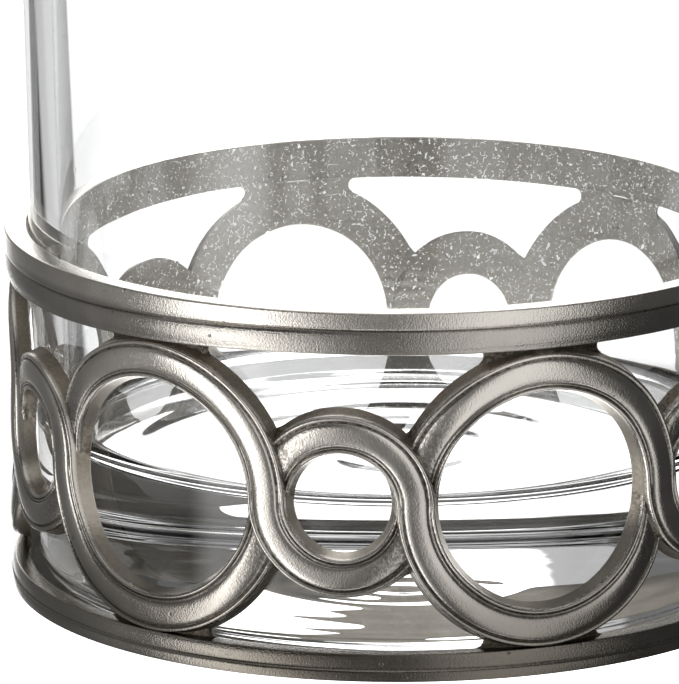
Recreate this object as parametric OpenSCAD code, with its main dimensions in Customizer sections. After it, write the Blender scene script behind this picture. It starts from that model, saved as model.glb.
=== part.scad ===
// Whisky tumbler: a heavy-based glass that stands in an openwork pewter holder.
// The holder is two moulded rims with a woven band of large and small circles between them.
// Millimetres, +Z up. The origin is the centre of the foot, on the surface it stands on.
// Angles round the holder are counted from the front, -Y, towards +X.

/* [Holder] */
// Outer diameter over the upper rim
holder_d = 92; // [88:0.5:96]
// Height from the table to the top of the upper rim
holder_h = 42.7; // [40:0.1:45]
// Height of the upper rim
upper_rim_h = 4.9; // [4:0.1:5.6]
// Height of the foot rim
foot_rim_h = 3.2; // [2.6:0.1:4]
// Thickness of the rims, from inside to outside
rim_t = 2.7; // [2.2:0.1:3.2]
// How far the foot rim's side stands inside the upper rim's side
foot_inset = 0.5; // [0:0.1:1]
// Width of the ledge under the glass
ledge_w = 5; // [4.6:0.1:5.5]
// Thickness of the ledge under the glass
ledge_t = 1.2; // [0.8:0.1:1.6]

/* [Woven band] */
// Width of a strand at its front edges
strand_w = 4.35; // [3.75:0.1:4.75]
// Extra width on each side of a strand at its back
strand_draft = 0.6; // [0.2:0.1:0.8]
// How far the crown of a strand stands inside the upper rim's side
crown_inset = 0.4; // [0.3:0.1:0.8]
// How much a strand falls away from its crown to its front edges
crown_rise = 0.6; // [0.3:0.1:1]
// Height of a circle as a share of its width
circle_share = 0.974; // [0.96:0.002:1]
// Gap between a large circle's front edges and the rims, which its wider back closes
rim_gap = 0.3; // [0.2:0.05:0.4]
// Gap between a strand's tapered end and the strand over it, which solder fills
solder_gap = 0.12; // [0.1:0.01:0.2]
// Turn of the first large circle from the front
first_turn = -38.6; // [-60:0.2:60]
// How far the circles at the back stand off even spacing, as a turn
back_shift = -3.6; // [-4:0.2:4]

/* [Glass] */
// Height from the table to the lip
glass_h = 100; // [80:1:120]
// Gap between the glass and the upper rim
glass_gap = 0.2; // [0.15:0.05:0.4]
// Outward slope of the side, as a rise in radius for each millimetre of height
glass_flare = 0.02; // [0.005:0.001:0.03]
// Height of the inside floor over the table
floor_z = 18.5; // [12:0.1:24]
// Wall thickness at the inside floor
wall_low = 3.5; // [3:0.1:5]
// Wall thickness at the lip
wall_top = 3.4; // [2:0.1:4]
// Radius of the heel
heel_r = 3.5; // [1:0.1:3.8]
// Radius of the inside corner at the floor
floor_r = 3.5; // [1.5:0.5:8]

/* [Hidden] */

pewter = [0.55, 0.53, 0.50];
clear_glass = [0.86, 0.90, 0.91, 0.35];

// Rims
rim_r = holder_d / 2;
rim_in = rim_r - rim_t;
rim_low = holder_h - upper_rim_h;
foot_r = rim_r - foot_inset;
ledge_in = rim_in - ledge_w;
// Share of the upper rim's height in its lower bead, and of the foot rim's in its upper bead
bead_share = 0.58;
// Depth of the line between two beads, and how far a bead swells past its edges
bead_line = 0.35;
bead_swell = 0.35;
// How far the upper rim's small bead stands inside its broad bead, and the rounding of its edges
small_bead_inset = 0.1;
top_round = 0.3;
foot_round = 0.2;
round_steps = 8;
smooth = 180;

// Woven band: six pairs of a large and a small circle, drawn flat and wrapped round the holder
pairs = 6;
pitch_turn = 180 / pairs;
// How far the band's back stands inside the rims' inner face
back_step = 0.1;
crown_r = rim_r - crown_inset;
edge_r = crown_r - crown_rise;
back_r = rim_in - back_step;
band_z = (rim_low + foot_rim_h) / 2;
pitch = crown_r * pitch_turn * PI / 180;
large_r = ((rim_low - foot_rim_h) / 2 - rim_gap) / circle_share - strand_w / 2;
small_r = pitch - large_r;
front_half = strand_w / 2;
back_half = front_half + strand_draft;
// The shoulders of a strand: how far they lie in from its edges, and their share of its fall
shoulder_step = 0.65;
shoulder_share = 0.3;
shoulder = front_half - shoulder_step;
shoulder_r = crown_r - shoulder_share * crown_rise;
strand_section = [
    [-front_half, edge_r],
    [-shoulder, shoulder_r],
    [0, crown_r],
    [shoulder, shoulder_r],
    [front_half, edge_r],
    [back_half, back_r],
    [back_half - shoulder_step, back_r],
    [0, back_r],
    [shoulder_step - back_half, back_r],
    [-back_half, back_r],
];
// Length of a strand between two of its cross sections
strand_step = 3;

// Glass
glass_r = rim_in - glass_gap;

// A point round the holder, from its turn, radius and height
function around(turn, r, z) = [r * sin(turn), -r * cos(turn), z];

// Points from p to q along a shallow curve that swells to the right of the way from p to q
function bow(p, q, swell) =
    let (along = q - p, out = [along[1], -along[0]] / norm(along))
    [for (i = [0 : round_steps]) let (t = i / round_steps) p + along * t + out * 4 * swell * t * (1 - t)];

// Points on an arc about c from angle a to angle b
function arc(c, r, a, b) =
    [for (i = [0 : round_steps]) let (t = a + (b - a) * i / round_steps) c + r * [cos(t), sin(t)]];

// Half the width of a strand at radius r
function half_width(r) = front_half + strand_draft * max(0, edge_r - r) / (edge_r - back_r);

// Angle, seen from a circle's centre, between its level line and the point where a line of
// radius line_r meets the edge of the neighbouring strand, of radius edge
function meet(line_r, edge) = acos((pitch * pitch + line_r * line_r - edge * edge) / (2 * pitch * line_r));

// A scroll is drawn with its crossing at [0, 0]: it comes over the top of a circle of radius r1
// on the left, crosses downwards, and goes under a circle of radius r2 on the right. across is
// the distance from its centre line, and r the radius on the holder.
function left_point(across, r, r1, r2, t) =
    let (line_r = r1 + across, turn = (180 - meet(line_r, r2 + half_width(r) + solder_gap)) * (1 - t))
    [line_r * cos(turn) - r1, line_r * sin(turn)];

function right_point(across, r, r1, r2, t) =
    let (line_r = r2 - across, turn = 180 + (180 - meet(line_r, r1 + half_width(r) + solder_gap)) * t)
    [line_r * cos(turn) + r2, line_r * sin(turn)];

// A turn of the evenly spaced band moved to its place on the holder, whose back is off it
function uneven(turn) = turn + back_shift * pow((1 - cos(turn)) / 2, 2);

// A flat point wrapped round the holder and cut off at the rims
function wrapped(flat, r, turn) =
    around(uneven(turn + flat[0] / crown_r * 180 / PI), r,
           max(foot_rim_h, min(rim_low, band_z + flat[1] * circle_share)));

// One S-shaped length of strand. turn is the place of its crossing round the holder.
module scroll(turn, r1, r2) {
    n1 = ceil(r1 * PI / strand_step);
    n2 = ceil(r2 * PI / strand_step);
    m = len(strand_section);
    last = (n1 + n2) * m;
    points = [
        for (i = [0 : n1 + n2])
            for (s = strand_section)
                let (flat = i <= n1 ? left_point(s[0], s[1], r1, r2, i / n1)
                                    : right_point(s[0], s[1], r1, r2, (i - n1) / n2))
                wrapped(flat, s[1], turn)
    ];
    sides = [
        for (i = [0 : n1 + n2 - 1])
            for (j = [0 : m - 1])
                let (a = i * m + j, b = i * m + (j + 1) % m)
                each [[a, b, a + m], [b, b + m, a + m]]
    ];
    half = m / 2;
    caps = [
        for (j = [0 : half - 2])
            let (f = j, b = m - 1 - j)
            each [[f, b, f + 1], [f + 1, b, b - 1],
                  [last + f, last + f + 1, last + b], [last + f + 1, last + b - 1, last + b]]
    ];
    color(pewter) polyhedron(points, concat(sides, caps));
}

// Scroll that comes over large circle k and goes under the small circle to its right
module scroll_a(k) {
    scroll(first_turn + 2 * pitch_turn * k + large_r / crown_r * 180 / PI, large_r, small_r);
}

// Scroll that comes over small circle k and goes under the large circle to its right
module scroll_b(k) {
    scroll(first_turn + pitch_turn * (2 * k + 1) + small_r / crown_r * 180 / PI, small_r, large_r);
}

// Ring with a broad lower bead, a fine line, a small upper bead and a flat top
module upper_rim() {
    line_z = rim_low + upper_rim_h * bead_share;
    bead_r = rim_r - bead_swell;
    top_r = rim_r - small_bead_inset;
    color(pewter) rotate_extrude($fn = smooth) polygon(concat(
        [[rim_in, rim_low]],
        bow([bead_r, rim_low], [bead_r - bead_line, line_z], bead_swell),
        bow([bead_r, line_z], [top_r, holder_h - top_round], bead_swell / 2),
        arc([top_r - top_round, holder_h - top_round], top_round, 0, 90),
        arc([rim_in + top_round, holder_h - top_round], top_round, 90, 180)
    ));
}

// Ring that the holder stands on, with two beads outside and a ledge inside
module foot_rim() {
    line_z = foot_rim_h * (1 - bead_share);
    bead_r = foot_r - bead_swell;
    low_r = foot_r - bead_swell / 2;
    color(pewter) rotate_extrude($fn = smooth) polygon(concat(
        [[ledge_in, 0]],
        arc([low_r - foot_round, foot_round], foot_round, 270, 360),
        bow([low_r, foot_round], [low_r, line_z], bead_swell / 2),
        bow([bead_r - bead_line / 2, line_z], [bead_r, foot_rim_h], bead_swell),
        [[rim_in, foot_rim_h], [rim_in, ledge_t], [ledge_in, ledge_t]]
    ));
}

// Straight-sided glass with a slight flare, a solid base and a rounded lip
module glass_tumbler() {
    function side_r(z) = glass_r + (z - holder_h) * glass_flare;
    lip_r = wall_top / 2;
    inside_low = side_r(floor_z) - wall_low;
    color(clear_glass) rotate_extrude($fn = smooth) polygon(concat(
        [[0, ledge_t]],
        arc([side_r(ledge_t + heel_r) - heel_r, ledge_t + heel_r], heel_r, 270, 360),
        arc([side_r(glass_h - lip_r) - lip_r, glass_h - lip_r], lip_r, 0, 180),
        arc([inside_low - floor_r, floor_z + floor_r], floor_r, 360, 270),
        [[0, floor_z]]
    ));
}

glass_tumbler();
upper_rim();
foot_rim();
scroll_a(0);  // scroll_a1
scroll_a(1);  // scroll_a2
scroll_a(2);  // scroll_a3
scroll_a(3);  // scroll_a4
scroll_a(4);  // scroll_a5
scroll_a(5);  // scroll_a6
scroll_b(0);  // scroll_b1
scroll_b(1);  // scroll_b2
scroll_b(2);  // scroll_b3
scroll_b(3);  // scroll_b4
scroll_b(4);  // scroll_b5
scroll_b(5);  // scroll_b6
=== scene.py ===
# Whisky tumbler: a heavy-based glass that stands in an openwork pewter holder.
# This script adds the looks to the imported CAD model, in its frame. Sizes are in millimetres until a
# mesh is made, and in metres in the materials. Angles round the holder are counted from the front,
# -Y, towards +X.
import math
import random

import bmesh
import bpy
import numpy as np
from mathutils import Matrix, Vector


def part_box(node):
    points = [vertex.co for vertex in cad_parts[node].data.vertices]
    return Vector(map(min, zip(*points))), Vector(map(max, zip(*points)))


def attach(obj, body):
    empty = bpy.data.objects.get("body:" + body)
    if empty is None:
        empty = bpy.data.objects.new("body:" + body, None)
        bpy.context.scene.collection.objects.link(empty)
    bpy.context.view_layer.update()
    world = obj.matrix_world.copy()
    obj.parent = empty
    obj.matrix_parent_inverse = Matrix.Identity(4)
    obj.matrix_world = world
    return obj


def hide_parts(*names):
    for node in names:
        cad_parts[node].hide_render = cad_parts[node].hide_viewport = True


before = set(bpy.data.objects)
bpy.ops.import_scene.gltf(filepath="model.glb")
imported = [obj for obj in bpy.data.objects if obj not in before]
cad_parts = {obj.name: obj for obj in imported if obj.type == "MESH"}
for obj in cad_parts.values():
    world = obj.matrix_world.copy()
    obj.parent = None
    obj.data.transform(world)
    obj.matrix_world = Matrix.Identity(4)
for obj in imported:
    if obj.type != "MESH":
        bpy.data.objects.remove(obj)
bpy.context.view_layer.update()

MM = 0.001


def box_mm(node):
    """Lowest and highest corner of a CAD node in millimetres."""
    low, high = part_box(node)
    return low / MM, high / MM


# Holder sizes
upper_low, upper_high = box_mm("upper_rim")
foot_high = box_mm("foot_rim")[1]
RIM_R = upper_high.x
RIM_LOW = upper_low.z
HOLDER_H = upper_high.z
FOOT_R = foot_high.x
FOOT_H = foot_high.z
RIM_T = 2.7
RIM_IN = RIM_R - RIM_T
LEDGE_W = 5
LEDGE_IN = RIM_IN - LEDGE_W
LEDGE_T = 1.2

# Woven band: six pairs of a large and a small circle, drawn flat and wrapped round the holder
PAIRS = 6
PITCH_TURN = math.pi / PAIRS
FIRST_TURN = math.radians(-38.6)
BACK_SHIFT = math.radians(-3.6)
STRAND_W = 4.35
STRAND_DRAFT = 0.6
CIRCLE_SHARE = 0.974
RIM_GAP = 0.3
CROWN_INSET = 0.4
CROWN_RISE = 0.6
BACK_STEP = 0.1
CROWN_R = RIM_R - CROWN_INSET
EDGE_R = CROWN_R - CROWN_RISE
BACK_R = RIM_IN - BACK_STEP
BAND_Z = (RIM_LOW + FOOT_H) / 2
HALF_BAND = (RIM_LOW - FOOT_H) / 2
PITCH = CROWN_R * PITCH_TURN
LARGE_R = (HALF_BAND - RIM_GAP) / CIRCLE_SHARE - STRAND_W / 2
SMALL_R = PITCH - LARGE_R
FRONT_HALF = STRAND_W / 2
BACK_HALF = FRONT_HALF + STRAND_DRAFT

# Glass sizes
glass_low, glass_high = box_mm("glass_tumbler")
GLASS_LOW = glass_low.z
GLASS_TOP = glass_high.z
GLASS_GAP = 0.2
GLASS_R = RIM_IN - GLASS_GAP
GLASS_FLARE = 0.02
FLOOR_Z = 18.5
WALL_LOW = 3.5
WALL_TOP = 3.4
HEEL_R = 3.5
FLOOR_R = 3.5


# Mesh helpers

def ripple(x, seed, waves=5, longest=1.0):
    """A smooth random curve of x between about -1 and 1, made of sine waves."""
    rng = random.Random(seed)
    total = 0
    for i in range(1, waves + 1):
        phase = rng.uniform(0, 2 * math.pi)
        total = total + math.sqrt(1 / i) * np.sin(2 * math.pi * i * x / longest + phase)
    return total / math.sqrt(waves)


def eased(t):
    """t held between 0 and 1, with a soft start and end."""
    t = np.clip(t, 0, 1)
    return t * t * (3 - 2 * t)


def around(turn, r, z):
    """Points round the holder, from their turns, radii and heights."""
    return np.stack([r * np.sin(turn), -r * np.cos(turn), z + 0 * turn], axis=-1)


def uneven(turn):
    """A turn of the evenly spaced band moved to its place on the holder, whose back is off it."""
    return turn + BACK_SHIFT * ((1 - np.cos(turn)) / 2) ** 2


# The sag of the holder's left side: turns to the left, in degrees, at which it starts, is full,
# starts to end and has ended, and the heights under the top edge over which it sets in
SAG_START, SAG_FULL, SAG_LEAVE, SAG_GONE = 8, 62, 90, 150
SAG_TOP = 0.3
SAG_TOP_FADE = 1.2
RIM_SAG = 0.9
STRAND_SAG = 0.5


def sagged(points, most):
    """Points of the holder moved to its hand-finished shape, which hangs lower on its left side:
    most from under the upper rim's top edge down to the band, and nothing at its lower half."""
    x, y, z = np.moveaxis(points, -1, 0)
    left = -np.degrees(np.arctan2(x, -y))
    share = eased((left - SAG_START) / (SAG_FULL - SAG_START))
    share = share * eased((SAG_GONE - left) / (SAG_GONE - SAG_LEAVE))
    height = np.clip((z - BAND_Z) / (RIM_LOW - BAND_Z), 0, 1)
    height = height * np.clip((HOLDER_H - SAG_TOP - z) / SAG_TOP_FADE, 0, 1)
    return np.stack([x, y, z - most * share * height], axis=-1)


def revolved(outline, turns):
    """Points of an outline of (radius, height) points, turned round the axis row by row."""
    r, z = np.asarray(outline).T
    rows = []
    for i in range(turns):
        turn = np.full(len(r), 2 * math.pi * i / turns)
        rows.append(around(turn, r, z))
    return np.concatenate(rows)


def grid_faces(rows, cols, loop_rows, loop_cols):
    """Four-sided faces of a grid of points, which may close on itself either way."""
    faces = []
    for i in range(rows if loop_rows else rows - 1):
        k = (i + 1) % rows
        for j in range(cols if loop_cols else cols - 1):
            m = (j + 1) % cols
            faces.append((i * cols + j, i * cols + m, k * cols + m, k * cols + j))
    return faces


SAME_POINT = 1e-8
SHARP_ANGLE = math.radians(50)


def mesh_object(name, points, faces, marks=None):
    """A smooth-shaded object in metres from points in millimetres, with its faces turned outwards.
    marks holds values for each point by name, which the materials read."""
    mesh = bpy.data.meshes.new(name)
    mesh.from_pydata((points * MM).tolist(), [], faces)
    for mark, values in (marks or {}).items():
        layer = mesh.attributes.new(mark, "FLOAT", "POINT")
        layer.data.foreach_set("value", np.ascontiguousarray(values, dtype=np.float32).ravel())
    work = bmesh.new()
    work.from_mesh(mesh)
    bmesh.ops.remove_doubles(work, verts=work.verts, dist=SAME_POINT)
    bmesh.ops.recalc_face_normals(work, faces=work.faces)
    work.to_mesh(mesh)
    work.free()
    mesh.shade_smooth()
    mesh.set_sharp_from_angle(angle=SHARP_ANGLE)
    made = bpy.data.objects.new(name, mesh)
    bpy.context.scene.collection.objects.link(made)
    return made


# Strands of the woven band

# The rounded face of a strand
FACE_HALF = 1.22
FACE_FALL = 0.2
FACE_STEPS = 8
# Rows of a strand's edge from its face outwards, as (distance from the centre line, depth under the
# crown, groove): a broad groove and a bead on the outside of a circle, and two grooves and two
# beads on the side of its hole
OUTER_EDGE = [
    (1.28, 0.27, 0.5), (1.34, 0.38, 0.9), (1.41, 0.46, 1), (1.48, 0.46, 1), (1.54, 0.38, 0.7),
    (1.60, 0.28, 0.2), (1.66, 0.22, 0), (1.73, 0.18, 0), (1.80, 0.17, 0), (1.88, 0.18, 0),
    (1.95, 0.22, 0), (2.02, 0.28, 0), (2.08, 0.37, 0), (2.13, 0.48, 0), (FRONT_HALF, 0.62, 0),
]
HOLE_EDGE = [
    (1.26, 0.27, 0.5), (1.30, 0.37, 0.9), (1.35, 0.37, 0.9), (1.41, 0.29, 0.3), (1.47, 0.26, 0.1),
    (1.53, 0.29, 0.3), (1.59, 0.40, 0.9), (1.65, 0.47, 1), (1.71, 0.42, 0.8), (1.77, 0.31, 0.2),
    (1.84, 0.24, 0), (1.92, 0.22, 0), (2.00, 0.25, 0), (2.09, 0.36, 0), (FRONT_HALF, 0.6, 0),
]
# The wall, which starts a small step outside the edge and widens to the back
WALL_DROP = 0.95
WALL_R = CROWN_R - WALL_DROP
WALL_STEP = 0.05
WALL_STEPS = 7
# Rows of a strand's rounded back edge and its back, as (distance from the centre line, height over
# the back, wall, inner)
BACK_ROWS = [
    (BACK_HALF - 0.03, 0.10, 0.8, 0.5),
    (BACK_HALF - 0.14, 0.02, 0.3, 1),
    (BACK_HALF - 0.4, 0, 0, 1),
    (1.2, 0, 0, 1),
    (0, 0, 0, 1),
]


def strand_profile(edge_rows):
    """A strand's cross section with the same edge on both sides, from its crown round one side, its
    back and the other side, as columns of distance from the centre line, radius, groove, wall and
    inner."""
    rows = []
    for i in range(FACE_STEPS + 1):
        s = FACE_HALF * i / FACE_STEPS
        rows.append((s, CROWN_R - FACE_FALL * (s / FACE_HALF) ** 3, 0, 0, 0))
    rows += [(s, CROWN_R - depth, groove, 0, 0) for s, depth, groove in edge_rows]
    for i in range(WALL_STEPS):
        t = i / WALL_STEPS
        half = FRONT_HALF + WALL_STEP + (STRAND_DRAFT - WALL_STEP) * t
        rows.append((half, WALL_R - t * (WALL_R - BACK_R), 0, 1, 0))
    rows += [(s, BACK_R + height, 0, wall, inner) for s, height, wall, inner in BACK_ROWS]
    half = np.array(rows, dtype=float)
    mirrored = half[-2:0:-1] * (-1, 1, 1, 1, 1)
    return np.concatenate([half, mirrored]).T


def meet(line_r, edge):
    """Angle at a circle's centre between its level line and the point where a line of radius
    line_r meets the edge of the neighbouring strand, of radius edge."""
    return np.arccos(np.minimum(1, (PITCH ** 2 + line_r ** 2 - edge ** 2) / (2 * PITCH * line_r)))


def half_width(r):
    """Half the width of a strand at radius r."""
    return FRONT_HALF + STRAND_DRAFT * np.maximum(0, EDGE_R - r) / (EDGE_R - BACK_R)


# Distance along a strand between two of its cross sections
SECTION_STEP = 0.4
# Share of a half circle between a strand's end and its crossing
ARC_SHARE = 0.8
# How far an end runs into the strand over it, dips under it, and widens at its foot
END_BITE = 0.3
END_LENGTH = 7.0
DIP = 0.75
DIP_LENGTH = 9.0
FILLET = 0.45
FILLET_LENGTH = 1.3
# How far a strand rises at its crossing
RISE = 0.22
RISE_LENGTH = 7.0
# Unevenness by hand: sideways, in height, and in width
SWAY = 0.05
SWAY_FADE = 3
SWELL = 0.03
WIDTH_CHANGE = 0.012
# The side of a hole: how much wider it is, how much paler its wall is, as painted light, and the
# lengths over which the sides change places at the crossing
HOLE_WIDER = 0.06
HOLE_PAINTED_LIGHT = 0.35
HOLE_FADE = 4
SWAP_LENGTH = 3.0
# How far the band stands under the middle between the rims, and runs into them
BAND_DROP = 0.3
RIM_BITE = 0.15


def scroll(name, turn, r1, r2, seed):
    """One S-shaped length of strand. turn is the place of its crossing round the holder. It comes
    over the top of a circle of radius r1 on the left, crosses downwards, and goes under a circle
    of radius r2 on the right. Its ends dip and run into the walls of the strands over them."""
    outer_side, hole_side = strand_profile(OUTER_EDGE), strand_profile(HOLE_EDGE)
    n1 = math.ceil(r1 * math.pi / SECTION_STEP)
    n2 = math.ceil(r2 * math.pi / SECTION_STEP)
    rows = []
    marks = {"groove": [], "wall": [], "inner": [], "end": []}
    for i in range(n1 + n2 + 1):
        left = i <= n1
        t = i / n1 if left else (i - n1) / n2
        r_here, r_other = (r1, r2) if left else (r2, r1)
        length = r_here * math.pi * ARC_SHARE
        from_end = length * (t if left else 1 - t)
        from_crossing = length - from_end

        # The cross section here, a mix of both kinds of edge near the crossing
        ahead = from_crossing if left else -from_crossing
        right_out = 0.5 + 0.5 * math.tanh(ahead / SWAP_LENGTH)
        out_share = np.where(outer_side[0] > 0, right_out, 1 - right_out)
        across, radius, groove, wall, inner = hole_side + (outer_side - hole_side) * out_share
        front = np.clip((radius - BACK_R) / (EDGE_R - BACK_R), 0, 1)
        outside = across > 0 if left else across < 0

        # Its width and height with the unevenness, the dip, the rise and the fillet
        along = i / (n1 + n2)
        sway = SWAY * ripple(along, seed) * min(1, from_end / SWAY_FADE)
        swell = SWELL * ripple(along, seed + 1)
        dip = DIP * max(0, 1 - from_end / DIP_LENGTH) ** 2
        rise = RISE * max(0, 1 - (from_crossing / RISE_LENGTH) ** 2) ** 2
        flare = FILLET * max(0, 1 - from_end / FILLET_LENGTH) ** 2
        wider = 1 + WIDTH_CHANGE * ripple(along, seed + 2) + HOLE_WIDER * (1 - out_share) * front
        wide = across * wider + sway
        wide = wide + np.sign(across) * flare * outside * np.clip(wall + inner, 0, 1)
        r = radius + front * (rise - dip + swell)

        # Its place on the flat drawing, wrapped round the holder
        line_r = r1 + wide if left else r2 - wide
        even_r = r1 + across if left else r2 - across
        end = math.pi - meet(even_r, r_other + half_width(radius) - END_BITE)
        angle = end * (1 - t) if left else math.pi + end * t
        x = line_r * np.cos(angle) + (-r1 if left else r2)
        y = line_r * np.sin(angle)
        z = BAND_Z - BAND_DROP + y * CIRCLE_SHARE
        z = np.clip(z, FOOT_H - RIM_BITE, RIM_LOW + RIM_BITE)
        rows.append(around(uneven(turn + x / CROWN_R), r, z))

        # Painted light on the walls at the side of a hole, which fades in away from the crossing and
        # the end
        light = ~outside * min(1, from_crossing / HOLE_FADE, from_end / END_LENGTH)
        marks["groove"].append(groove)
        marks["wall"].append(wall * (1 - HOLE_PAINTED_LIGHT * light))
        marks["inner"].append(inner)
        marks["end"].append(np.full(len(across), max(0, 1 - from_end / END_LENGTH)))
    count, cols = len(rows), len(rows[0])
    faces = grid_faces(count, cols, False, True)
    faces.append(tuple(range(cols)))
    faces.append(tuple((count - 1) * cols + j for j in range(cols)))
    marks = {mark: np.concatenate(values) for mark, values in marks.items()}
    return mesh_object(name, sagged(np.concatenate(rows), STRAND_SAG), faces, marks)


# Rims

RIM_TURNS = 480


def ring(name, outline, marks, extra):
    """A rim from a closed outline of (radius, height) points. marks holds a list of values for each
    outline point, and extra holds further solids as (points, faces, marks)."""
    points = revolved(outline, RIM_TURNS)
    faces = grid_faces(RIM_TURNS, len(outline), True, True)
    marks = {mark: np.tile(values, RIM_TURNS) for mark, values in marks.items()}
    for more_points, more_faces, more_marks in extra:
        base = len(points)
        points = np.concatenate([points, more_points])
        faces += [tuple(base + v for v in face) for face in more_faces]
        marks = {mark: np.concatenate([values, more_marks[mark]]) for mark, values in marks.items()}
    return mesh_object(name, sagged(points, RIM_SAG), faces, marks)


# Webs: the radius of their hollow edge, and the radii on the holder of their back, side, edge and
# front, and of the change from the marks of the back to those of the front
WEB_R = 0.9
WEB_STEPS = 14
WEB_BACK = BACK_R + 0.05
WEB_MARKS = BACK_R + 0.1
WEB_SIDE = BACK_R + 0.2
WEB_EDGE = BACK_R + 0.55
WEB_FRONT = CROWN_R - 0.9
# The rounding of the edge, and the share of it at its middle
WEB_ROUND = 0.3
ROUND_MIDDLE = 0.3
# The wall that a web stands on, and how far a web runs into the strand and the rim
WEB_WALL_R = LARGE_R + FRONT_HALF + 0.35
WEB_IN_STRAND = 0.8
WEB_IN_RIM = 0.2
WEB_END_SHARE = 0.985
# How strongly a web's front takes the marks of ends: dirt and painted shade in the corner
WEB_DIRT_AND_SHADE = 0.8


def web(turn, side, top):
    """A small web that fills the corner between a large circle's outer wall and a rim, with a
    hollow round edge. side is -1 or 1 for left or right, and top is 1 or -1."""
    rim_y = HALF_BAND / CIRCLE_SHARE
    centre_y = rim_y - WEB_R
    centre_x = math.sqrt((WEB_WALL_R + WEB_R) ** 2 - centre_y ** 2)
    tip_x = math.sqrt(WEB_WALL_R ** 2 - rim_y ** 2) - WEB_IN_STRAND
    tip = np.array([[tip_x, rim_y + WEB_IN_RIM]])
    angles = np.linspace(math.pi / 2, math.pi + math.atan2(centre_y, centre_x), WEB_STEPS + 1)
    edge_x = centre_x + WEB_R * np.cos(angles)
    edge_y = centre_y + WEB_R * np.sin(angles)
    edge = np.stack([edge_x, edge_y], axis=-1)
    edge = np.concatenate([edge[:1] + (0, WEB_IN_RIM), edge, edge[-1:] * WEB_END_SHARE])
    inward = (tip - edge) / np.linalg.norm(tip - edge, axis=1)[:, None]
    layers = [
        (edge, WEB_BACK),
        (edge, WEB_SIDE),
        (edge, WEB_EDGE - WEB_ROUND),
        (edge + inward * WEB_ROUND * ROUND_MIDDLE, WEB_EDGE - WEB_ROUND * ROUND_MIDDLE),
        (edge + inward * WEB_ROUND, WEB_EDGE),
    ]
    points = []
    for flat, r in layers + [(tip, WEB_BACK), (tip, WEB_FRONT)]:
        x, y = flat.T
        z = BAND_Z + y * CIRCLE_SHARE * top
        points.append(around(uneven(turn + x * side / CROWN_R), np.full(len(flat), r), z))
    points = np.concatenate(points)
    count = len(edge)
    last_layer = (len(layers) - 1) * count
    back_tip, front_tip = len(points) - 2, len(points) - 1
    faces = grid_faces(len(layers), count, False, False)
    for j in range(count - 1):
        faces.append((back_tip, j + 1, j))
        faces.append((front_tip, last_layer + j, last_layer + j + 1))
    for j in (0, count - 1):
        faces.append((back_tip, *(layer * count + j for layer in range(len(layers))), front_tip))
    inner = 1.0 * (np.hypot(points[:, 0], points[:, 1]) < WEB_MARKS)
    outer = 1.0 - inner
    # The front of a web is darkened: dirt and painted shade in the corner
    marks = {"groove": outer, "wall": outer, "inner": inner, "end": WEB_DIRT_AND_SHADE * outer}
    return points, faces, marks


def webs(top):
    """The webs of all large circles at the upper rim, for top 1, or at the foot rim, for top -1."""
    turns = [FIRST_TURN + 2 * PITCH_TURN * k for k in range(PAIRS)]
    return [web(turn, side, top) for turn in turns for side in (-1, 1)]


def bow(p, q, swell, steps):
    """Points from p to q along a shallow curve that swells to the right of the way from p to q."""
    p, q = np.array(p, dtype=float), np.array(q, dtype=float)
    along = q - p
    out = np.array([along[1], -along[0]]) / np.linalg.norm(along)
    return [p + along * t + out * 4 * swell * t * (1 - t) for t in np.linspace(0, 1, steps + 1)]


def arc(centre, radius, start, end, steps):
    """Points on an arc about centre, between two angles in degrees."""
    angles = np.radians(np.linspace(start, end, steps + 1))
    return [np.array(centre) + radius * np.array([math.cos(a), math.sin(a)]) for a in angles]


# Heights of the grooves, and how dark and wide they are
UPPER_LINE_Z = RIM_LOW + 2.8
FOOT_LINE_Z = 1.3
GROOVE_DARK = 0.85
GROOVE_HALF = 0.065
# How much painted shade darkens the rims' undersides
UNDER_SHADE = 0.8
# Radii outside which a rim's outside and its underside start, and inside which its inside does
RIM_OUTSIDE = RIM_IN + 0.5
RIM_UNDER = RIM_IN + 0.2
RIM_INSIDE = RIM_IN + 0.05


def rim_marks(outline, groove_z, groove_r, low_z):
    """Marks of a rim: dark in its groove, which lies inside groove_r, painted shade on its underside,
    and matt inside."""
    r, z = np.asarray(outline).T
    in_groove = (r < groove_r) & (r > RIM_OUTSIDE)
    return {
        "groove": GROOVE_DARK * np.exp(-((z - groove_z) / GROOVE_HALF) ** 2) * in_groove,
        "wall": UNDER_SHADE * (z < low_z) * (r > RIM_UNDER),
        "inner": 1.0 * (r <= RIM_INSIDE),
        "end": 0 * r,
    }


def upper_rim():
    """Ring with a broad lower band, a groove under a fine ridge, a plain upper band and a flat
    top."""
    line_z = UPPER_LINE_Z
    outline = [(RIM_IN, RIM_LOW), (RIM_R - 0.6, RIM_LOW)]
    outline += arc((RIM_R - 0.6, RIM_LOW + 0.25), 0.25, -80, 0, 4)
    outline += bow((RIM_R - 0.34, RIM_LOW + 0.35), (RIM_R - 0.3, line_z - 0.22), 0.2, 10)
    outline += [
        (RIM_R - 0.40, line_z - 0.12),
        (RIM_R - 0.52, line_z - 0.03),
        (RIM_R - 0.46, line_z + 0.04),
        (RIM_R - 0.28, line_z + 0.08),
        (RIM_R - 0.20, line_z + 0.20),
        (RIM_R - 0.12, line_z + 0.34),
    ]
    outline += bow((RIM_R - 0.10, line_z + 0.42), (RIM_R - 0.05, HOLDER_H - 0.32), 0.04, 6)
    outline += arc((RIM_R - 0.32, HOLDER_H - 0.28), 0.28, 5, 90, 6)
    outline += arc((RIM_IN + 0.3, HOLDER_H - 0.3), 0.3, 90, 180, 6)
    outline += [(RIM_IN, RIM_LOW + 2)]
    marks = rim_marks(outline, line_z - 0.03, RIM_R - 0.3, RIM_LOW + 0.12)
    return ring("upper_rim_ring", outline, marks, webs(1))


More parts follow.
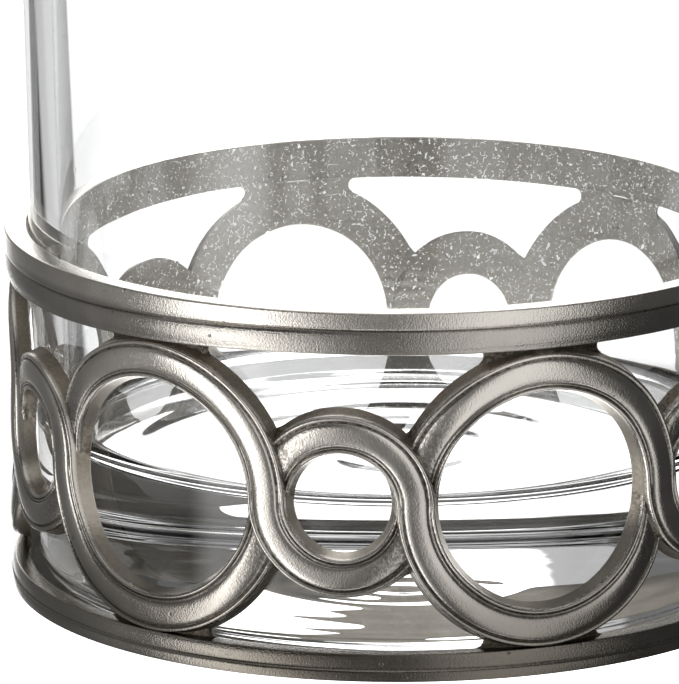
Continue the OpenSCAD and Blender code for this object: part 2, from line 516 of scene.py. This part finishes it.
def foot_rim():
    """Ring that the holder stands on, with two bands and a fine ridge outside, and a ledge
    inside."""
    line_z = FOOT_LINE_Z
    outline = [(LEDGE_IN, 0.15), (LEDGE_IN + 0.15, 0)]
    outline += arc((FOOT_R - 0.27, 0.15), 0.15, -90, -5, 4)
    outline += bow((FOOT_R - 0.11, 0.25), (FOOT_R - 0.12, line_z - 0.18), 0.05, 6)
    outline += [
        (FOOT_R - 0.16, line_z - 0.14),
        (FOOT_R - 0.07, line_z + 0.01),
        (FOOT_R - 0.01, line_z + 0.12),
        (FOOT_R - 0.04, line_z + 0.17),
    ]
    outline += bow((FOOT_R - 0.15, line_z + 0.24), (FOOT_R - 0.25, FOOT_H - 0.25), 0.1, 8)
    outline += arc((FOOT_R - 0.5, FOOT_H - 0.22), 0.22, 10, 90, 5)
    outline += arc((RIM_IN + 0.2, FOOT_H - 0.2), 0.2, 90, 180, 4)
    outline += [
        (RIM_IN, LEDGE_T + 0.2),
        (RIM_IN - 0.2, LEDGE_T),
        (LEDGE_IN + 0.15, LEDGE_T),
        (LEDGE_IN, LEDGE_T - 0.15),
    ]
    marks = rim_marks(outline, line_z + 0.22, FOOT_R - 0.1, 0.1)
    return ring("foot_rim_ring", outline, marks, webs(-1))


# Glass

# Steps round the glass, and points on the parts of its outline
GLASS_TURNS = 360
UNDER_POINTS = 90
HEEL_STEPS = 14
SIDE_POINTS = 26
LIP_STEPS = 24
CORNER_STEPS = 16
FLOOR_POINTS = 8
# The underside: a step up inside the heel, a low dome, and waves from pressing
HOLLOW = 0.4
HOLLOW_EDGE = 5.0
DOME = 0.4
DOME_EDGE = 25.0
HOLLOW_WAVE = 0.17
WAVE_SEED = 2
WAVES = 7


def side_r(z):
    """Outer radius of the glass at height z."""
    return GLASS_R + (z - HOLDER_H) * GLASS_FLARE


def glass():
    """Straight-sided glass with a slight flare, a solid base, an underside that is a little hollow,
    domed and wavy from pressing, and a rounded lip."""
    heel_z = GLASS_LOW + HEEL_R
    flat_r = side_r(heel_z) - HEEL_R
    lip_r = WALL_TOP / 2
    lip_z = GLASS_TOP - lip_r
    lip_in = side_r(lip_z) - WALL_TOP
    corner_z = FLOOR_Z + FLOOR_R
    inside_low = side_r(FLOOR_Z) - WALL_LOW
    outline = []
    for r in np.linspace(0, flat_r, UNDER_POINTS)[:-1]:
        rise = min(1, (flat_r - r) / HOLLOW_EDGE)
        dome = DOME * min(1, max(0, (flat_r - HOLLOW_EDGE - r) / DOME_EDGE))
        wave = HOLLOW_WAVE * ripple(r, WAVE_SEED, WAVES, flat_r)
        outline.append((r, GLASS_LOW + rise * (HOLLOW + dome + wave)))
    outline += arc((flat_r, heel_z), HEEL_R, -90, 0, HEEL_STEPS)
    outline += [(side_r(z), z) for z in np.linspace(heel_z, lip_z, SIDE_POINTS)[1:-1]]
    outline += arc((side_r(lip_z) - lip_r, lip_z), lip_r, 0, 180, LIP_STEPS)
    for z in np.linspace(lip_z, corner_z, SIDE_POINTS)[1:-1]:
        t = (z - corner_z) / (lip_z - corner_z)
        outline.append((inside_low + (lip_in - inside_low) * t, z))
    outline += arc((inside_low - FLOOR_R, corner_z), FLOOR_R, 0, -90, CORNER_STEPS)
    outline += [(r, FLOOR_Z) for r in np.linspace(inside_low - FLOOR_R, 0, FLOOR_POINTS)[1:]]
    faces = grid_faces(GLASS_TURNS, len(outline), True, False)
    return mesh_object("glass_body", revolved(outline, GLASS_TURNS), faces)


# Materials

class Graph:
    """Adds shader nodes to one node tree."""

    def __init__(self, tree):
        self.tree = tree

    def put(self, value, socket):
        """Links a node's output to a socket, or sets a plain value on it."""
        if isinstance(value, bpy.types.NodeSocket):
            self.tree.links.new(value, socket)
        else:
            socket.default_value = value

    def node(self, kind, inputs=None, **settings):
        """A new node. inputs holds values or other nodes' outputs, by socket name or number."""
        made = self.tree.nodes.new("ShaderNode" + kind)
        for key, value in settings.items():
            setattr(made, key, value)
        for key, value in (inputs or {}).items():
            self.put(value, made.inputs[key])
        return made

    def sums(self, operation, a, b=0.0, c=0.0):
        """The result of a maths node."""
        return self.node("Math", {0: a, 1: b, 2: c}, operation=operation).outputs[0]

    def times(self, a, b):
        """The product of two values."""
        return self.sums("MULTIPLY", a, b)

    def most(self, a, b):
        """The larger of two values."""
        return self.sums("MAXIMUM", a, b)

    def length(self, x, y):
        """The distance of a point from the axis."""
        return self.sums("SQRT", self.sums("MULTIPLY_ADD", x, x, self.times(y, y)))

    def span(self, value, low, high, to_low=0.0, to_high=1.0):
        """value mapped softly from one range to another and held inside it."""
        inputs = {
            "Value": value,
            "From Min": low, "From Max": high,
            "To Min": to_low, "To Max": to_high,
        }
        return self.node("MapRange", inputs, interpolation_type="SMOOTHSTEP").outputs["Result"]

    def blend(self, share, a, b):
        """Colour a mixed with colour b by share."""
        return self.node("Mix", {0: share, 6: a, 7: b}, data_type="RGBA").outputs[2]

    def place(self):
        """The place of the point that is shaded, in metres."""
        return self.node("TexCoord").outputs["Object"]

    def noise(self, vector, scale, detail, rough=0.5):
        """Noise with features of about a metre divided by scale."""
        inputs = {"Vector": vector, "Scale": scale, "Detail": detail, "Roughness": rough}
        return self.node("TexNoise", inputs).outputs["Fac"]

    def dots(self, vector, scale, small, large):
        """Round dots about a metre divided by scale apart, which fade from small to large, their
        radii as shares of that distance."""
        cells = self.node("TexVoronoi", {"Vector": vector, "Scale": scale}, feature="F1")
        return self.span(cells.outputs["Distance"], small, large, 1.0, 0.0)


def new_material(name):
    """A new material, its graph, and its Principled shader joined to the output."""
    made = bpy.data.materials.new(name)
    made.use_nodes = True
    made.node_tree.nodes.clear()
    graph = Graph(made.node_tree)
    shader = graph.node("BsdfPrincipled")
    graph.node("OutputMaterial", {"Surface": shader.outputs[0]})
    return made, graph, shader


def grey(value, warm=0.07):
    """A grey, a little warmer for a larger warm."""
    return (value * (1 + 0.8 * warm), value, value * (1 - 1.2 * warm), 1)


WHITE = (1, 1, 1, 1)
BLACK = (0, 0, 0, 1)
# Greys of the pewter: pairs for the darker and the lighter clouds or grains
FACE_GREYS = grey(0.49), grey(0.55)
# The walls' greys: brown patina, darkened further with painted shade
WALL_PATINA_AND_SHADE = grey(0.27, 0.16), grey(0.33, 0.14)
INNER_GREYS = grey(0.58, 0.1), grey(0.66, 0.1)
# A painted highlight that lightens the upper parts, and painted shade on the upper rim's lower band
HIGHLIGHT_GREY = grey(0.9)
LOWER_BAND_SHADE = grey(0.1)
INNER_SHADE = grey(0.05)
PATINA = grey(0.04, 0.2)
# Painted shade low on the strands and the rims, near the table
LOW_SHADE = grey(0.08, 0.2)
# Pale colour of the specks and hairs inside, which also glow as painted glints
SPECK_GLINT = grey(0.95, 0.0)
# Heights, in metres, between which the pewter changes: from the upper rim's lower band, darkened
# with painted shade, to its upper band, lightened with a painted highlight, to strands painted
# lighter higher up, to painted shade low on the strands and the rims, to shade low on the inner
# faces, and to specks on them. The painted shade of the rims also changes towards the front.
BAND_SPLIT_Z = 0.0402, 0.0412
STRAND_HIGHLIGHT_Z = 0.022, 0.03
STRAND_SHADE_Z = 0.015, 0.004
RIM_SHADE_Z = 0.009, 0.002
RIM_SHADE_Y = -0.034, -0.043
INNER_SHADE_Z = 0.013, 0.007
SPECKS_Z = 0.019, 0.022
# Scales of the pewter's textures, in features per metre
CLOUD_SCALE = 160
GRAIN_SCALE = 5000
SAND_SCALE = 2400
PIT_SCALE = 700
PIT_PATCH_SCALE = 300
HAIR_SCALE = 1000
HAIR_BREAK_SCALE = 1900
DUST_SCALE = 2600
DUST_PATCH_SCALE = 900
BRUSH_SCALE = 5200
# Metres of brushing for each radian round the holder: few, so its lines are drawn out
BRUSH_DRAW = 0.0012
# Relief: its depth in metres, the sand on coarse and on plain surfaces, the brushing, and the rest
# of the relief on the rims
BUMP_DEPTH = 0.00003
COARSE_SAND, PLAIN_SAND = 2.5, 0.25
BRUSH_RELIEF = 0.8
RIM_RELIEF = 1.3
# How much less metallic the inner faces are
INNER_METAL = -0.7


def pewter(name, brushed):
    """Satin pewter: cast grain, clouds, pits, dark patina in the grooves, painted shade near the
    table, a painted highlight that lightens it higher up, and pale specks and hairs inside, which
    glow as painted glints. brushed is for the rims, which have fine lines round the holder."""
    made, graph, shader = new_material(name)
    times, most, span, blend = graph.times, graph.most, graph.span, graph.blend
    place = graph.place()
    x, y, z = graph.node("SeparateXYZ", {0: place}).outputs

    def mark(title):
        return graph.node("Attribute", attribute_name=title).outputs["Fac"]

    groove, wall, inner = mark("groove"), mark("wall"), mark("inner")
    end = times(mark("end"), graph.sums("SUBTRACT", 1.0, inner))
    clouds = graph.noise(place, CLOUD_SCALE, 4.0, 0.55)
    grain = graph.noise(place, GRAIN_SCALE, 2.0, 0.6)
    sand = graph.noise(place, SAND_SCALE, 3.0, 0.6)
    rare = span(graph.noise(place, PIT_PATCH_SCALE, 2.0, 0.55), 0.58, 0.66)
    pits = times(graph.dots(place, PIT_SCALE, 0.06, 0.2), rare)

    # Specks and hairs on the inner faces, over the height of the glass's solid base: pale marks that
    # also glow as painted glints
    lines = graph.sums("SUBTRACT", graph.noise(place, HAIR_SCALE, 1.0, 0.55), 0.5)
    lines = graph.sums("ABSOLUTE", lines)
    broken = span(graph.noise(place, HAIR_BREAK_SCALE, 1.0, 0.55), 0.53, 0.57)
    hairs_and_glints = times(span(lines, 0.006, 0.018, 1.0, 0.0), broken)
    patches = span(graph.noise(place, DUST_PATCH_SCALE, 2.0, 0.55), 0.46, 0.54)
    dust_and_glints = times(graph.dots(place, DUST_SCALE, 0.12, 0.26), patches)
    specks = times(times(most(hairs_and_glints, dust_and_glints), inner), span(z, *SPECKS_Z))

    # Colour: grey with faint clouds, browner walls of patina darkened with painted shade, dark
    # grooves and ends, paler inside, painted shade low down, painted highlights higher up, and pale
    # specks
    face = blend(span(clouds, 0.35, 0.65), *FACE_GREYS)
    if brushed:
        # Painted shade on the upper rim's lower band, and a painted highlight on its upper band
        face = blend(span(z, *BAND_SPLIT_Z, 0.2, 0.0), face, LOWER_BAND_SHADE)
        face = blend(span(z, *BAND_SPLIT_Z, 0.0, 0.4), face, HIGHLIGHT_GREY)
        # Painted shade low on the rims, stronger towards the front
        low = times(span(z, *RIM_SHADE_Z), span(y, *RIM_SHADE_Y, 0.35, 0.8))
    else:
        # Painted highlight: the strands are painted lighter higher up
        face = blend(span(z, *STRAND_HIGHLIGHT_Z, 0.0, 0.35), face, HIGHLIGHT_GREY)
        # Painted shade low on the strands, near the table
        low = span(z, *STRAND_SHADE_Z, 0.0, 0.6)
    grains = span(sand, 0.35, 0.65)
    inside = blend(grains, *INNER_GREYS)
    inside = blend(span(z, *INNER_SHADE_Z, 0.0, 0.85), inside, INNER_SHADE)
    worn = times(groove, span(sand, 0.4, 0.62, 1.0, 0.6))
    spotty = times(end, span(sand, 0.4, 0.6, 0.85, 0.35))
    dirt = most(most(worn, spotty), times(pits, 0.7))
    # Walls: brown patina with painted shade
    colour = blend(wall, face, blend(grains, *WALL_PATINA_AND_SHADE))
    colour = blend(inner, colour, inside)
    colour = blend(times(dirt, 0.92), colour, PATINA)
    # Painted shade near the table
    colour = blend(low, colour, LOW_SHADE)
    colour = blend(specks, colour, SPECK_GLINT)

    # Roughness: satin, rougher in clouds, on walls, inside and in grooves
    rough = span(clouds, 0.3, 0.7, 0.17, 0.24)
    for part, roughness in ((wall, 0.45), (inner, 0.6), (dirt, 0.5)):
        rough = most(rough, times(part, roughness))

    # Relief: cast grain, coarser in grooves, on walls and at soldered ends, pits, and brushed lines
    coarse = most(most(times(wall, 0.5), end), groove)
    sandy = graph.sums("MULTIPLY_ADD", coarse, COARSE_SAND, PLAIN_SAND)
    height = graph.sums("MULTIPLY_ADD", sand, sandy, grain)
    height = graph.sums("SUBTRACT", height, pits)
    if brushed:
        turn = times(graph.sums("ARCTAN2", x, y), BRUSH_DRAW)
        drawn_out = graph.node("CombineXYZ", {0: turn, 1: z, 2: graph.length(x, y)}).outputs[0]
        brushing = graph.noise(drawn_out, BRUSH_SCALE, 2.0)
        height = graph.sums("MULTIPLY_ADD", brushing, BRUSH_RELIEF, times(height, RIM_RELIEF))
    bump = graph.node("Bump", {"Height": height, "Strength": 1.0, "Distance": BUMP_DEPTH})

    graph.put(colour, shader.inputs["Base Color"])
    # The specks and hairs glow: painted glints
    graph.put(WHITE, shader.inputs["Emission Color"])
    graph.put(specks, shader.inputs["Emission Strength"])
    graph.put(rough, shader.inputs["Roughness"])
    graph.put(graph.sums("MULTIPLY_ADD", inner, INNER_METAL, 1.0), shader.inputs["Metallic"])
    graph.put(bump.outputs[0], shader.inputs["Normal"])
    return made


def clear_glass():
    """Clear glass with faint waves from pressing, and a few tiny specks."""
    made, graph, shader = new_material("clear_glass")
    place = graph.place()
    stretched = graph.node("Mapping", {"Vector": place, "Scale": (1.0, 1.0, 0.12)}).outputs[0]
    waves = graph.noise(stretched, 90.0, 1.0)
    specks = graph.dots(place, 300.0, 0.03, 0.1)
    height = graph.sums("MULTIPLY_ADD", specks, 0.02, waves)
    bump = graph.node("Bump", {"Height": height, "Strength": 0.2, "Distance": 0.0002})
    graph.put(bump.outputs[0], shader.inputs["Normal"])
    graph.put((0.985, 0.99, 0.99, 1), shader.inputs["Base Color"])
    graph.put(0.0, shader.inputs["Roughness"])
    graph.put(1.5, shader.inputs["IOR"])
    graph.put(1.0, shader.inputs["Transmission Weight"])
    return made


# The object

strand_pewter = pewter("pewter_strand", False)
rim_pewter = pewter("pewter_rim", True)
glass_clear = clear_glass()


def finish_piece(piece, cad_node, body, material):
    """Gives a piece its material and puts it in a CAD node's place."""
    piece.data.materials.append(material)
    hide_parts(cad_node)
    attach(piece, body)


SEEDS_PER_PAIR = 10
for k in range(PAIRS):
    seed_a = SEEDS_PER_PAIR * k
    seed_b = seed_a + SEEDS_PER_PAIR // 2
    turn_a = FIRST_TURN + 2 * PITCH_TURN * k + LARGE_R / CROWN_R
    turn_b = FIRST_TURN + PITCH_TURN * (2 * k + 1) + SMALL_R / CROWN_R
    strand_a = scroll(f"strand_a{k + 1}", turn_a, LARGE_R, SMALL_R, seed_a)
    strand_b = scroll(f"strand_b{k + 1}", turn_b, SMALL_R, LARGE_R, seed_b)
    finish_piece(strand_a, f"scroll_a{k + 1}", "holder", strand_pewter)
    finish_piece(strand_b, f"scroll_b{k + 1}", "holder", strand_pewter)
finish_piece(upper_rim(), "upper_rim", "holder", rim_pewter)
finish_piece(foot_rim(), "foot_rim", "holder", rim_pewter)
finish_piece(glass(), "glass_tumbler", "glass", glass_clear)


# Stage, light and camera

FLOOR_HALF = 4000.0
# The floor's light as other surfaces get it, in metres and strengths. It changes across two edges
# on the left, which lean: they move to the left by a share of the way to the back. Between them lies
# a painted shadow band.
SHADE_LEAN = 0.346
NEAR_EDGE, NEAR_LIGHT = (-0.034, -0.029), (0.03, 1.25)
FAR_EDGE, FAR_LIGHT = (-0.07, -0.09), (0.0, 0.8)
# A painted pool of light under the glass, and a painted shadow arc in it
UNDER_EDGE = 0.046, 0.045
UNDER_GLOW = 3.0
ARC_DIM = -2.9
ARC_OUTER = 0.04, 0.034
ARC_INNER = 0.022, 0.03
ARC_FRONT_Y = 0.0, -0.02


def floor():
    """A large pale floor, which glossy surfaces do not mirror. Seen through the glass, it is
    greyer to the left with a painted shadow band, and has a painted pool of light under the glass,
    with a painted shadow arc under its front."""
    corners = [(-1, -1, 0), (1, -1, 0), (1, 1, 0), (-1, 1, 0)]
    made = mesh_object("floor", FLOOR_HALF * np.array(corners), [(0, 1, 2, 3)])
    material, graph, shader = new_material("floor_white")
    span = graph.span
    x, y, _ = graph.node("SeparateXYZ", {0: graph.place()}).outputs
    across = graph.sums("MULTIPLY_ADD", y, SHADE_LEAN, x)
    shade = span(across, *NEAR_EDGE, *NEAR_LIGHT)
    shade = graph.most(shade, span(across, *FAR_EDGE, *FAR_LIGHT))
    r = graph.length(x, y)
    under = span(r, *UNDER_EDGE)
    shadow_arc = graph.times(span(r, *ARC_OUTER), span(r, *ARC_INNER))
    shadow_arc = graph.times(shadow_arc, span(y, *ARC_FRONT_Y))
    below = graph.sums("MULTIPLY_ADD", shadow_arc, ARC_DIM, UNDER_GLOW)
    shade = graph.sums("MULTIPLY_ADD", under, graph.sums("SUBTRACT", below, shade), shade)
    seen = graph.node("LightPath").outputs["Is Camera Ray"]
    graph.put(BLACK, shader.inputs["Base Color"])
    graph.put(0.0, shader.inputs["Specular IOR Level"])
    graph.put(WHITE, shader.inputs["Emission Color"])
    graph.put(graph.most(shade, seen), shader.inputs["Emission Strength"])
    made.data.materials.append(material)
    made.visible_glossy = False
    made.visible_shadow = False


# Light of the studio away from its panels
STUDIO_LIGHT = 0.06
# Panels in front of and behind the object, as (left, right, low, high, softness, strength), all but
# the strength in degrees
FRONT_PANELS = [
    (-190, -102, -91, 91, 8, 0.1),
    (-102, -72, -91, 91, 8, 0.2),
    (-65, -42, -54, 12, 6, 3.2),
    (-42, -22, -50, 14, 7, 0.75),
    (-22, 6, -60, 60, 6, 0.14),
    (11, 52, -56, 50, 6, 0.95),
    (-190, 190, 60, 91, 6, 0.25),
    (-190, 190, -91, -70, 5, 1.3),
]
BACK_PANELS = [
    (-15.5, 20.4, -30, 45, 1, 2.4),
    (-27, -15.5, -30, 45, 1, 0.35),
]


def studio_world():
    """Dark studio with soft white panels, which the camera sees as white."""
    world = bpy.data.worlds.new("studio")
    bpy.context.scene.world = world
    world.use_nodes = True
    world.node_tree.nodes.clear()
    graph = Graph(world.node_tree)
    way = graph.node("TexCoord").outputs["Generated"]
    x, y, z = graph.node("SeparateXYZ", {0: way}).outputs
    degrees = 180 / math.pi
    front = graph.times(graph.sums("ARCTAN2", x, graph.times(y, -1.0)), degrees)
    behind = graph.times(graph.sums("ARCTAN2", x, y), degrees)
    height = graph.times(graph.sums("ARCSINE", z), degrees)

    def inside(value, low, high, soft):
        over_low = graph.span(value, low - soft, low + soft)
        under_high = graph.span(value, high + soft, high - soft)
        return graph.times(over_low, under_high)

    light = STUDIO_LIGHT
    for turns, panels in ((front, FRONT_PANELS), (behind, BACK_PANELS)):
        for left, right, low, high, soft, strength in panels:
            shape = graph.times(inside(turns, left, right, soft), inside(height, low, high, soft))
            light = graph.sums("MULTIPLY_ADD", shape, strength, light)
    light = graph.most(light, graph.node("LightPath").outputs["Is Camera Ray"])
    background = graph.node("Background", {"Color": WHITE, "Strength": light})
    graph.node("OutputWorld", {"Surface": background.outputs[0]})


def overhead_light():
    """A large soft light over the object."""
    lamp = bpy.data.lights.new("overhead", "AREA")
    lamp.shape = "SQUARE"
    lamp.size = 1.6
    lamp.energy = 3.0
    made = bpy.data.objects.new("overhead", lamp)
    made.location = (-0.2, -0.2, 2.0)
    made.visible_camera = False
    bpy.context.scene.collection.objects.link(made)


def photo_camera():
    """The camera at the photograph's viewing angle. foot_px is where the centre of the foot is in
    the frame."""
    frame_w, frame_h = 679, 684
    focal_px = 8093
    distance = 0.95
    tilt = math.radians(16)
    roll = math.radians(-0.24)
    foot_px = Vector((400.9, 570.75))
    data = bpy.data.cameras.new("camera")
    data.sensor_width = 36
    data.lens = focal_px * data.sensor_width / max(frame_w, frame_h)
    data.clip_start, data.clip_end = 0.01, 50
    made = bpy.data.objects.new("camera", data)
    back = Vector((0, -math.cos(tilt), math.sin(tilt)))
    up = Vector((0, math.sin(tilt), math.cos(tilt)))
    right = Vector((1, 0, 0))
    turned_right = right * math.cos(roll) + up * math.sin(roll)
    turned_up = up * math.cos(roll) - right * math.sin(roll)
    scale = distance / focal_px
    target = turned_right * (frame_w / 2 - foot_px.x) * scale
    target = target + turned_up * (foot_px.y - frame_h / 2) * scale
    made.location = back * distance
    aim = (target - made.location).to_track_quat("-Z", "Y").to_matrix()
    made.rotation_euler = (aim @ Matrix.Rotation(roll, 3, "Z")).to_euler()
    bpy.context.scene.collection.objects.link(made)
    bpy.context.scene.camera = made


floor()
studio_world()
overhead_light()
photo_camera()
bpy.context.scene.view_settings.view_transform = "Standard"
